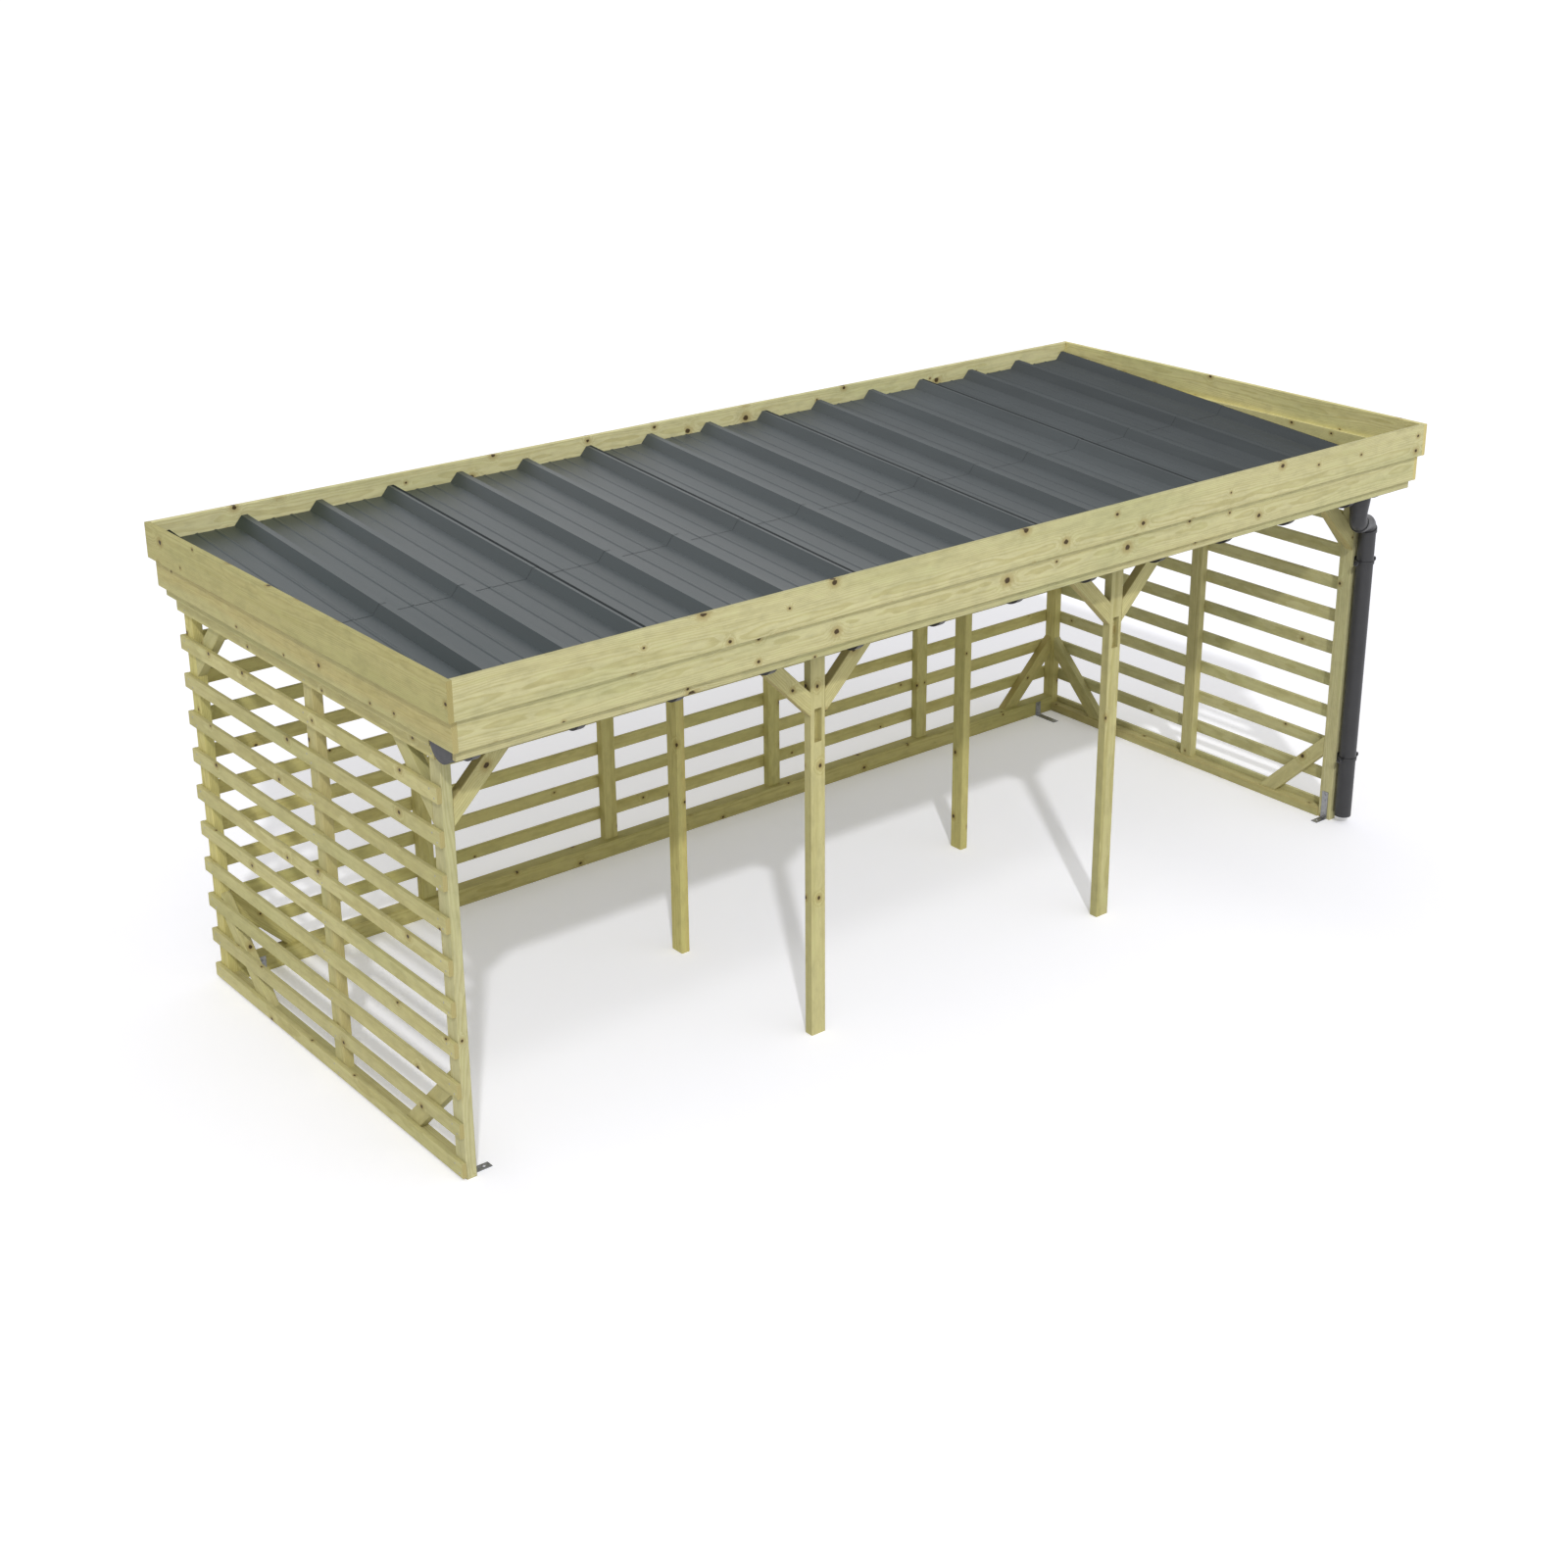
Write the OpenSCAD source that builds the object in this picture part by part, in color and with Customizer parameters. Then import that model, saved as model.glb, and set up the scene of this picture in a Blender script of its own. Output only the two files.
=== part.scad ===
// Open-fronted firewood shelter: slatted timber walls, a low-pitched ribbed
// steel roof inside a stepped board parapet, a gutter along the front and one
// downpipe. Millimetres, +Z up, X along the front, the open front at -Y.
// The origin is on the floor, below the middle of the parapet's outline.

/* [Overall] */
// Length over the parapet boards
total_length = 5090; // [4400:10:6200]
// Depth over the parapet boards
total_depth = 2275; // [1900:5:2800]
// Height from the floor to the top of the parapet
total_height = 2005; // [1700:5:2500]

/* [Frame timber] */
// Wide side of the post and brace section
post_w = 70; // [55:1:95]
// Narrow side of the post and brace section
post_t = 42; // [34:1:60]
// Height of the bottom rail of the back wall
rail_h = 80; // [60:1:110]
// Height of the bottom rails of the side walls
side_rail_h = 45; // [34:1:70]
// Width of the bottom rails of the side walls
side_rail_w = 50; // [34:1:70]
// Depth of the middle and back roof beams
beam_h = 145; // [100:1:170]
// Thickness of the side rafters on the outside of the wall posts
rafter_t = 32; // [20:1:45]
// Open bays along the front
front_bays = 3; // [2:1:4]
// Bays between the studs of the back wall
back_bays = 5; // [3:1:6]
// How far the middle row of posts stands in front of mid-depth
middle_forward = 51; // [0:1:200]
// Small chamfer on the long edges of all timber
ease = 2; // [1:0.5:4]

/* [Braces and mortises] */
// Reach of the braces under the roof, along each of the two timbers
brace_reach = 261; // [180:1:340]
// Height at which the lower braces meet the posts
foot_top = 420; // [300:1:480]
// Distance from the front beam down to the mortise in a front post
mortise_down = 233; // [200:1:400]
// Height of the mortise
mortise_h = 137; // [80:1:160]
// Width of the mortise
mortise_w = 36; // [24:1:40]
// Depth of the mortise
mortise_d = 25; // [6:1:30]

/* [Slats] */
// Height of a wall slat
slat_h = 60; // [45:1:75]
// Thickness of a wall slat
slat_t = 18; // [12:1:25]
// Slats in each wall
slat_count = 11; // [8:1:12]
// Height of the lowest slats above the floor
slat_lift = 10; // [0:1:30]
// Gap between the top slat and the lowest parapet board
slat_gap = 9; // [3:1:20]

/* [Parapet] */
// Height of a parapet board
board_h = 145; // [120:1:180]
// Thickness of a parapet board, which is also the size of each step
board_t = 21; // [16:1:28]
// How far the middle board shows below the top board
middle_show = 116; // [90:1:120]
// How far the lowest board shows below the middle board
low_show = 39; // [25:1:60]
// Space between the front posts and the lowest front board
eaves_d = 183; // [180:1:240]

/* [Roof sheet] */
// Drop of the parapet's top to the underside of the sheet at the back wall
parapet_up = 88; // [70:1:110]
// Fall of the sheet towards the front, for each millimetre of depth
roof_fall = 0.0755; // [0.05:0.0005:0.09]
// Thickness of the sheet
sheet_t = 2; // [1:0.5:3]
// Height of the ribs
rib_h = 39; // [25:1:45]
// Width of a rib's top
rib_top = 26; // [20:1:40]
// Width of a rib at its foot
rib_foot = 90; // [70:1:110]
// Usual distance between ribs, rounded to fit whole pans
rib_pitch = 333; // [250:1:340]
// Ribs from one side lap to the next
lap_every = 3; // [2:1:5]
// Thickness of the upper sheet where it laps over the lower one
lap_t = 1; // [0.5:0.5:1.5]
// How far the upper sheet's front edge lies before the middle beam
end_lap = 30; // [25:1:120]
// Middle of the first rib from the left edge of the sheet
first_rib = 33; // [14:1:45]
// Height of the small stiffening folds in the pans
fold_h = 2.5; // [1.5:0.5:4]
// Width of a stiffening fold at its foot
fold_w = 18; // [12:1:24]
// How far the sheet reaches over the gutter
sheet_over = 77; // [50:1:100]
// Gap between the sheet's edges and the parapet boards
sheet_gap = 1; // [1:1:5]

/* [Gutter] */
// Outer radius of the half-round gutter
gutter_r = 72; // [55:1:80]
// Thickness of the gutter
gutter_t = 3; // [2:0.5:4]
// Radius of the bead along the gutter's front rim
bead_r = 5; // [4:1:8]
// Gap between the gutter and the lowest front board
gutter_gap = 4; // [2:1:8]
// Length of the piece of gutter that carries the outlet
outlet_l = 150; // [116:2:180]
// Height of the sheet's front edge above the gutter rim
gutter_drop = 24; // [10:1:40]
// Brackets along the gutter
bracket_count = 12; // [8:1:14]
// Width of a gutter bracket
bracket_w = 30; // [20:1:40]
// Thickness of a gutter bracket
bracket_t = 12; // [6:1:14]
// Height of a bracket's plate on the front beam
bracket_plate = 75; // [60:1:90]
// First bracket from the outer face of the left corner post
bracket_in = 48; // [20:1:100]
// Space between the last bracket and the outlet piece
bracket_off = 43; // [10:1:120]

/* [Downpipe] */
// Outer radius of the downpipe
pipe_r = 40; // [30:1:45]
// Wall of the downpipe
pipe_wall = 3; // [2:0.5:4]
// Gap between the downpipe and the front post
pipe_gap = 6; // [4:1:20]
// Height of the downpipe's open end above the floor
pipe_end = 35; // [20:1:120]
// Distance along the front from the outlet to the downpipe
outlet_offset = 161; // [140:1:200]
// Height of the outlet funnel under the gutter
outlet_h = 70; // [50:1:110]
// How much wider the funnel is at the gutter than at the pipe
funnel_flare = 8; // [4:1:12]
// Middle radius of the swan neck's bends
bend_r = 55; // [48:1:60]
// Fall of the pipe between the two bends, in degrees
neck_slope = 12; // [5:1:30]
// Thickness of the socket bands on the bends
band_t = 4; // [2:1:5]
// Turn of a bend that a socket band covers, in degrees
band_turn = 21; // [12:1:25]
// Height of the lower pipe clamp
clamp_low = 336; // [200:1:600]
// Height of the upper pipe clamp
clamp_high = 1326; // [900:1:1350]
// Height of a clamp's band
clamp_h = 14; // [10:1:30]
// Radius of the round ears that the clamp's bolts pass through
ear_r = 12; // [8:1:15]
// Distance from the pipe's side to the middle of an ear
ear_out = 26; // [18:1:30]

/* [Anchor brackets] */
// Long arm of an anchor bracket
anchor_long = 140; // [110:1:160]
// Short arm of an anchor bracket
anchor_short = 75; // [60:1:95]
// Width of an anchor bracket
anchor_w = 35; // [30:1:50]
// Thickness of an anchor bracket
anchor_t = 3; // [2:0.5:4]
// Inside radius of the bend in an anchor bracket
anchor_bend = 4; // [2:0.5:6]
// Diameter of the bolt holes in the arms that lie on the floor
anchor_hole = 11; // [9:0.5:14]
// Middle of a bolt hole from the end of its arm
anchor_edge = 25; // [18:1:30]
// Distance of the back brackets from the corner posts
anchor_in = 108; // [60:1:300]

/* [Hidden] */
$fn = 96;
wood = [0.80, 0.77, 0.56];
wood_inside = [0.66, 0.64, 0.42];
sheet_grey = [0.36, 0.39, 0.41];
gutter_grey = [0.24, 0.24, 0.26];
zinc = [0.62, 0.63, 0.65];

// Outer faces of the parapet and of the timber frame
half_l = total_length / 2;
half_d = total_depth / 2;
parapet_t = 3 * board_t;
frame_x = half_l - parapet_t - rafter_t;
frame_back = half_d - parapet_t;
frame_front = -half_d + parapet_t + eaves_d;
post_in = frame_x - post_t;
middle_y = (frame_front + frame_back) / 2 - middle_forward;

// Heights of the parapet's three rows of boards
top_z = total_height - board_h;
middle_z = top_z - middle_show;
low_z = middle_z - low_show;

// Heights inside the walls, and the roof sheet's underside over depth y
plate_z = low_z - slat_gap - slat_h;
slat_pitch = (plate_z - slat_lift) / (slat_count - 1);
roof_angle = atan(roof_fall);
function under(y) = total_height - parapet_up - roof_fall * (frame_back - y);
middle_beam_z = under(middle_y - post_t / 2) - beam_h;
back_beam_z = under(frame_back - post_t) - beam_h;

// Roof sheet
sheet_edge = half_l - 2 * board_t - sheet_gap;
sheet_back = half_d - board_t - sheet_gap;
sheet_front = frame_front - sheet_over;
pan_count = round((2 * sheet_edge - first_rib) / rib_pitch);
pan_w = (2 * sheet_edge - first_rib) / pan_count;
function rib_x(i) = -sheet_edge + first_rib + i * pan_w;

// Gutter, and what starts behind it
gutter_y = -half_d + parapet_t + gutter_gap + gutter_r;
gutter_z = under(sheet_front) - gutter_drop;
gutter_end = half_l - 2 * board_t - sheet_gap;
collar_t = gutter_gap / 2;
rafter_front = gutter_y + gutter_r + 2;

// Downpipe, and the plane of the swan neck that leads to it
pipe_x = frame_x - 4;
pipe_y = frame_front - pipe_gap - pipe_r;
outlet_x = pipe_x - outlet_offset;
neck_run = norm([outlet_offset, pipe_y - gutter_y]);
neck_turn = atan2(pipe_y - gutter_y, outlet_offset);
bend_angle = 90 - neck_slope;
bend_run = bend_r * (1 - cos(bend_angle));
bend_drop = bend_r * sin(bend_angle);
link_l = (neck_run - 2 * bend_run) / cos(neck_slope);
neck_top = gutter_z - gutter_r - outlet_h;
neck_foot = neck_top - 2 * bend_drop - link_l * sin(neck_slope);

// Rectangle between two opposite corners
function rect(low, high) = [low, [high[0], low[1]], high, [low[0], high[1]]];

// Outline with a small chamfer across each corner
function eased(p) = [
    for (i = [0 : len(p) - 1])
        let (a = p[(i + len(p) - 1) % len(p)], b = p[i], c = p[(i + 1) % len(p)])
            each [b + ease * (a - b) / norm(a - b), b + ease * (c - b) / norm(c - b)]
];

// Arc of a circle as points, from angle a0 to a1
function arc(middle, r, a0, a1) = [
    for (i = [0 : 6]) middle + r * [cos(a0 + (a1 - a0) * i / 6), sin(a0 + (a1 - a0) * i / 6)]
];

// An outline in the depth-height plane, extruded along X
module along_x(x0, x1, outline) {
    translate([x0, 0, 0]) rotate([90, 0, 90]) linear_extrude(x1 - x0) polygon(outline);
}

// Timbers with eased long edges, given by two opposite corners
module timber_x(low, high) {
    along_x(low[0], high[0], eased(rect([low[1], low[2]], [high[1], high[2]])));
}

module timber_y(low, high) {
    translate([0, high[1], 0]) rotate([90, 0, 0])
        linear_extrude(high[1] - low[1])
            polygon(eased(rect([low[0], low[2]], [high[0], high[2]])));
}

module timber_z(low, high) {
    translate([0, 0, low[2]])
        linear_extrude(high[2] - low[2])
            polygon(eased(rect([low[0], low[1]], [high[0], high[1]])));
}

// Beam along X whose top is bevelled to the slope of the roof sheet
module beam(x0, x1, y0, y1, z0) {
    along_x(x0, x1, eased([[y0, z0], [y1, z0], [y1, under(y1)], [y0, under(y0)]]));
}

// The space under the roof sheet: timbers that reach the sheet are cut by it
module under_roof() {
    along_x(-half_l, half_l, [
        [-half_d, -1], [half_d, -1], [half_d, under(half_d)], [-half_d, under(-half_d)]
    ]);
}

// A 45 degree brace in a corner, its ends cut flush with the two timbers.
// Turned by q about Y, it fills +X +Z (0), +X -Z (90), -X -Z (180) or -X +Z (270).
module brace(reach, q) {
    rotate([0, q, 0])
    intersection() {
        translate([0, 0, reach]) rotate([0, 135, 0])
            linear_extrude(reach * sqrt(2))
                polygon(eased(rect([0, 0], [post_w, post_t])));
        cube([reach, post_t, reach]);
    }
}

// Corner post with its wide side towards the side wall, cut to the roof's slope
module corner_post(side, y0) {
    x0 = side < 0 ? -frame_x : post_in;
    color(wood)
    intersection() {
        timber_z([x0, y0, 0], [x0 + post_t, y0 + post_w, total_height]);
        under_roof();
    }
}

// Front posts between the bays, with an open mortise in each front face
module front_posts() {
    color(wood)
    for (i = [1 : front_bays - 1]) {
        x = -frame_x + i * 2 * frame_x / front_bays;
        difference() {
            timber_z([x - post_w / 2, frame_front, 0],
                     [x + post_w / 2, frame_front + post_t, plate_z]);
            translate([x - mortise_w / 2, frame_front - 1, plate_z - mortise_down - mortise_h])
                cube([mortise_w, mortise_d + 1, mortise_h]);
        }
    }
}

// Posts inside the shelter that carry the middle beam
module middle_posts() {
    color(wood)
    for (i = [1 : front_bays - 1]) {
        x = -frame_x + i * 2 * frame_x / front_bays;
        timber_z([x - post_t / 2, middle_y - post_w / 2, 0],
                 [x + post_t / 2, middle_y + post_w / 2, middle_beam_z]);
    }
}

// Studs of the back wall, on the rail and under the back beam
module back_studs() {
    color(wood_inside)
    for (i = [1 : back_bays - 1]) {
        x = -frame_x + i * 2 * frame_x / back_bays;
        timber_z([x - post_w / 2, frame_back - post_t, rail_h],
                 [x + post_w / 2, frame_back, back_beam_z]);
    }
}

// Studs in the middle of the side walls, on the rails and under the plates
module side_studs() {
    color(wood_inside)
    for (x0 = [-frame_x, post_in])
        timber_z([x0, middle_y - post_w / 2, side_rail_h],
                 [x0 + post_t, middle_y + post_w / 2, plate_z]);
}

// Bottom rail of a side wall, between the corner posts
module side_rail(side) {
    x0 = side < 0 ? -frame_x : frame_x - side_rail_w;
    color(wood)
        timber_y([x0, frame_front + post_w, 0],
                 [x0 + side_rail_w, frame_back - post_w, side_rail_h]);
}

// Bottom rail of the back wall, between the corner posts
module rail_back() {
    color(wood_inside)
        timber_x([-post_in, frame_back - post_w, 0], [post_in, frame_back, rail_h]);
}

// Slats on the outside of a side wall, long enough to cover the back slats' ends
module side_slats(side) {
    x0 = side < 0 ? -frame_x - slat_t : frame_x;
    color(wood)
    for (i = [0 : slat_count - 1])
        timber_y([x0, frame_front, slat_lift + i * slat_pitch],
                 [x0 + slat_t, frame_back + slat_t, slat_lift + i * slat_pitch + slat_h]);
}

// Slats on the outside of the back wall
module slats_back() {
    color(wood_inside)
    for (i = [0 : slat_count - 1])
        timber_x([-frame_x, frame_back, slat_lift + i * slat_pitch],
                 [frame_x, frame_back + slat_t, slat_lift + i * slat_pitch + slat_h]);
}

// Plates on top of the side walls, between the corner posts
module side_plates() {
    color(wood_inside)
    for (x0 = [-frame_x, post_in])
        timber_y([x0, frame_front + post_w, plate_z],
                 [x0 + post_t, frame_back - post_w, middle_beam_z]);
}

// Rafters outside the posts: they carry the sheet's edges and the parapet
module side_rafters() {
    color(wood)
    for (x0 = [-frame_x - rafter_t, frame_x])
        intersection() {
            timber_y([x0, rafter_front, plate_z + slat_h + slat_gap],
                     [x0 + rafter_t, frame_back, total_height]);
            under_roof();
        }
}

// Knee braces under the front beam, at the corner posts and beside each front post
module braces_front() {
    color(wood)
    translate([0, frame_front, plate_z]) {
        translate([-post_in, 0, 0]) brace(brace_reach, 90);
        translate([post_in, 0, 0]) brace(brace_reach, 180);
        for (i = [1 : front_bays - 1]) {
            x = -frame_x + i * 2 * frame_x / front_bays;
            translate([x + post_w / 2, 0, 0]) brace(brace_reach, 90);
            translate([x - post_w / 2, 0, 0]) brace(brace_reach, 180);
        }
    }
}

// Braces in the four corners of a side wall
module side_braces(side) {
    x1 = side < 0 ? -post_in : frame_x;
    reach = foot_top - side_rail_h;
    color(wood_inside)
    translate([x1, 0, 0]) rotate([0, 0, 90]) {
        translate([frame_front + post_w, 0, plate_z]) brace(brace_reach, 90);
        translate([frame_back - post_w, 0, plate_z]) brace(brace_reach, 180);
        translate([frame_front + post_w, 0, side_rail_h]) brace(reach, 0);
        translate([frame_back - post_w, 0, side_rail_h]) brace(reach, 270);
    }
}

// Braces in the two bottom corners of the back wall
module braces_back() {
    color(wood_inside)
    translate([0, frame_back - post_t, rail_h]) {
        translate([-post_in, 0, 0]) brace(foot_top - rail_h, 0);
        translate([post_in, 0, 0]) brace(foot_top - rail_h, 270);
    }
}

// One parapet board along the front or the back
module long_board(half, y0, z0) {
    color(wood)
        timber_x([-half, y0, z0], [half, y0 + board_t, z0 + board_h]);
}

// Parapet board of a side, in one of the two upper rows
module side_board(side, row, z0) {
    x_out = half_l - row * board_t;
    x0 = side < 0 ? -x_out : x_out - board_t;
    color(wood)
        timber_y([x0, -half_d + row * board_t, z0],
                 [x0 + board_t, half_d - row * board_t, z0 + board_h]);
}

// Lowest parapet board of a side: it starts behind the gutter and stays under the sheet
module side_low_board(side) {
    x0 = side < 0 ? -half_l + 2 * board_t : half_l - parapet_t;
    color(wood)
    intersection() {
        timber_y([x0, rafter_front, low_z], [x0 + board_t, half_d - 2 * board_t, low_z + board_h]);
        under_roof();
    }
}

// Upper line of one pan: two stiffening folds
function pan_line(x) = [
    for (s = [1 / 3, 2 / 3], p = [[-0.5, 0], [-0.2, 1], [0.2, 1], [0.5, 0]])
        [x + rib_foot / 2 + s * (pan_w - rib_foot) + p[0] * fold_w, p[1] * fold_h]
];

// Line over one rib
function rib_line(x) = [
    [x - rib_foot / 2, 0], [x - rib_top / 2, rib_h], [x + rib_top / 2, rib_h], [x + rib_foot / 2, 0]
];

// Underside of the sheet's cross-section, from edge to edge
sheet_line = concat(
    [[-sheet_edge, rib_h], [rib_x(0) + rib_top / 2, rib_h], [rib_x(0) + rib_foot / 2, 0]],
    [for (i = [0 : pan_count - 1])
        each concat(pan_line(rib_x(i)), i < pan_count - 1 ? rib_line(rib_x(i + 1)) : [])],
    [[sheet_edge - rib_foot / 2, 0], [sheet_edge - rib_top / 2, rib_h], [sheet_edge, rib_h]]
);

// Side lap over one rib: the left sheet's edge ends just past the rib's top
module side_lap(x) {
    slip = 0.2;
    past = x + rib_top / 2 + slip * (rib_foot - rib_top) / 2;
    translate([0, sheet_t])
        polygon([
            [x - rib_foot / 2, 0], [x - rib_top / 2, rib_h], [x + rib_top / 2, rib_h],
            [past, (1 - slip) * rib_h], [past, (1 - slip) * rib_h + lap_t],
            [x + rib_top / 2, rib_h + lap_t], [x - rib_top / 2, rib_h + lap_t]
        ]);
}

// A layer of sheet in cross-section, between two heights over its underside
module layer(low, high) {
    polygon(concat(
        [for (p = sheet_line) p + [0, low]],
        [for (i = [len(sheet_line) - 1 : -1 : 0]) sheet_line[i] + [0, high]]
    ));
}

// Ribbed steel sheet, laid to its fall from the back parapet to over the gutter: the
// rows of sheets lap over each other across the ribs, the upper row over the lower one
module roof_sheet() {
    laps = [lap_every : lap_every : pan_count - 1];
    full_l = (sheet_back - sheet_front) / cos(roof_angle);
    upper_l = (sheet_back - middle_y + end_lap) / cos(roof_angle);
    color(sheet_grey)
    translate([0, sheet_back, under(sheet_back)])
        rotate([90 + roof_angle, 0, 0]) {
            linear_extrude(full_l) layer(0, sheet_t);
            linear_extrude(upper_l) {
                layer(sheet_t / 2, sheet_t + lap_t);
                for (i = laps) translate([0, lap_t]) side_lap(rib_x(i));
            }
            translate([0, 0, upper_l]) linear_extrude(full_l - upper_l)
                for (i = laps) side_lap(rib_x(i));
        }
}

// Half ring in the depth-height plane, open upwards
module half_ring(r_out, r_in) {
    difference() {
        circle(r_out);
        circle(r_in);
        translate([-2 * r_out, 0]) square([4 * r_out, 2 * r_out]);
    }
}

// Half-round gutter with a beaded front rim and a back lip
module gutter_run(x0, x1) {
    translate([x0, gutter_y, gutter_z]) rotate([90, 0, 90]) {
        linear_extrude(x1 - x0) {
            half_ring(gutter_r, gutter_r - gutter_t);
            translate([gutter_r - gutter_t, 0]) square([gutter_t, 2 * gutter_t]);
        }
        translate([bead_r - gutter_r, 0, 0]) cylinder(r = bead_r, h = x1 - x0);
    }
}

// The stop end of the gutter, from x0 on
module stop_end(x0) {
    translate([x0, gutter_y, gutter_z]) rotate([90, 0, 90])
        linear_extrude(gutter_t) half_ring(gutter_r, 1);
}

// The gutter on both sides of its outlet piece
module gutter() {
    color(gutter_grey) {
        gutter_run(-gutter_end, outlet_x - outlet_l / 2);
        stop_end(-gutter_end);
        gutter_run(outlet_x + outlet_l / 2, gutter_end);
        stop_end(gutter_end - gutter_t);
    }
}

// Outlet piece of the gutter: a collar round each end and a funnel with the outlet's bore
module gutter_spout() {
    collar_w = 12;
    color(gutter_grey)
    difference() {
        union() {
            gutter_run(outlet_x - outlet_l / 2, outlet_x + outlet_l / 2);
            for (x = [-outlet_l / 2, outlet_l / 2 - collar_w])
                translate([outlet_x + x, gutter_y, gutter_z]) rotate([90, 0, 90])
                    linear_extrude(collar_w)
                        half_ring(gutter_r + collar_t, gutter_r - gutter_t / 2);
            difference() {
                translate([outlet_x, gutter_y, neck_top]) rotate_extrude()
                    polygon([
                        [0, 0], [pipe_r, 0], [pipe_r, outlet_h / 6],
                        [pipe_r + funnel_flare, outlet_h],
                        [pipe_r + funnel_flare, outlet_h + gutter_r / 2],
                        [0, outlet_h + gutter_r / 2]
                    ]);
                translate([outlet_x - gutter_r, gutter_y, gutter_z]) rotate([0, 90, 0])
                    cylinder(r = gutter_r - gutter_t / 2, h = 2 * gutter_r);
            }
        }
        translate([outlet_x, gutter_y, neck_top - 1])
            cylinder(r = pipe_r - pipe_wall, h = outlet_h + gutter_r);
    }
}

// Brackets that hold the gutter on the front beam: a strap that thickens from the
// front rim towards the arm, and a plate on the beam
module gutter_brackets() {
    reach = frame_front - gutter_y;
    x_first = -frame_x + bracket_in;
    x_last = outlet_x - outlet_l / 2 - bracket_off - bracket_w / 2;
    step = (x_last - x_first) / (bracket_count - 1);
    strap_t = gutter_gap - 1;
    strap_r = gutter_r + (bracket_t + strap_t) / 2;
    shift = (bracket_t - strap_t) / 2;
    color(gutter_grey)
    for (i = [0 : bracket_count - 1])
        translate([x_first + i * step - bracket_w / 2, gutter_y, gutter_z])
            rotate([90, 0, 90]) linear_extrude(bracket_w) {
                difference() {
                    translate([shift, -shift]) circle(strap_r);
                    circle(gutter_r);
                    translate([-2 * strap_r, 0]) square([4 * strap_r, 2 * strap_r]);
                }
                translate([gutter_r + 1, -bracket_t]) square([reach - gutter_r - 1, bracket_t]);
                translate([reach - bracket_t / 2, -0.8 * bracket_plate])
                    square([bracket_t / 2, bracket_plate]);
            }
}

// Cross-section of a round tube
module ring(r_out, r_in) {
    difference() {
        circle(r_out);
        circle(r_in);
    }
}

// A bend of the swan neck from angle a0 on: it starts pointing down and turns towards +X
module bend(a0, a1, r_out, r_in) {
    translate([bend_r, 0, 0]) rotate([90, 180 - a0, 0])
        rotate_extrude(angle = a1 - a0) translate([bend_r, 0]) ring(r_out, r_in);
}

// Upper bend of the swan neck, with a socket band round the sloping pipe's end
module outlet_elbow() {
    color(gutter_grey)
    translate([outlet_x, gutter_y, neck_top]) rotate([0, 0, neck_turn]) {
        bend(0, bend_angle, pipe_r, pipe_r - pipe_wall);
        bend(bend_angle - band_turn, bend_angle, pipe_r + band_t, pipe_r - pipe_wall / 2);
    }
}

// Sloping pipe between the two bends
module neck_pipe() {
    color(gutter_grey)
    translate([outlet_x, gutter_y, neck_top]) rotate([0, 0, neck_turn])
        translate([bend_run, 0, -bend_drop]) rotate([0, 90 + neck_slope, 0])
            linear_extrude(link_l) ring(pipe_r, pipe_r - pipe_wall);
}

// Lower end of the swan neck, with a socket band at the top of the downpipe
module lower_elbow() {
    color(gutter_grey)
    translate([pipe_x, pipe_y, neck_foot]) rotate([0, 0, neck_turn + 180])
        mirror([0, 0, 1]) {
            bend(0, bend_angle, pipe_r, pipe_r - pipe_wall);
            bend(0, band_turn, pipe_r + band_t, pipe_r - pipe_wall / 2);
        }
}

// Downpipe, open at its lower end
module downpipe() {
    color(gutter_grey)
    translate([pipe_x, pipe_y, pipe_end])
        linear_extrude(neck_foot - pipe_end) ring(pipe_r, pipe_r - pipe_wall);
}

// Two clamps that hold the downpipe off the front post: a band, a flange with two
// round ears for the bolts, and an arm with a plate on the post
module pipe_clamps() {
    clamp_t = 4;
    flange_t = 10;
    arm_w = 12;
    plate_h = 2.8 * ear_r;
    ear_x = pipe_r + ear_out;
    plate_x = frame_x - pipe_x - post_t / 3;
    color(gutter_grey)
    for (z = [clamp_low, clamp_high])
        translate([pipe_x, pipe_y, z])
            difference() {
                union() {
                    translate([0, 0, -clamp_h / 2]) cylinder(r = pipe_r + clamp_t, h = clamp_h);
                    for (x = [-ear_x, ear_x])
                        translate([x, flange_t / 2, 0]) rotate([90, 0, 0])
                            cylinder(r = ear_r, h = flange_t, $fn = 48);
                    translate([-ear_x, -flange_t / 2, -clamp_h / 2])
                        cube([2 * ear_x, flange_t, clamp_h]);
                    translate([plate_x - arm_w / 2, 0, -clamp_h / 2])
                        cube([arm_w, frame_front - pipe_y, clamp_h]);
                    translate([plate_x - ear_r, frame_front - pipe_y - clamp_t, -plate_h / 2])
                        cube([2 * ear_r, clamp_t, plate_h]);
                }
                translate([0, 0, -ear_r]) cylinder(r = pipe_r, h = 2 * ear_r);
            }
}

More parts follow.
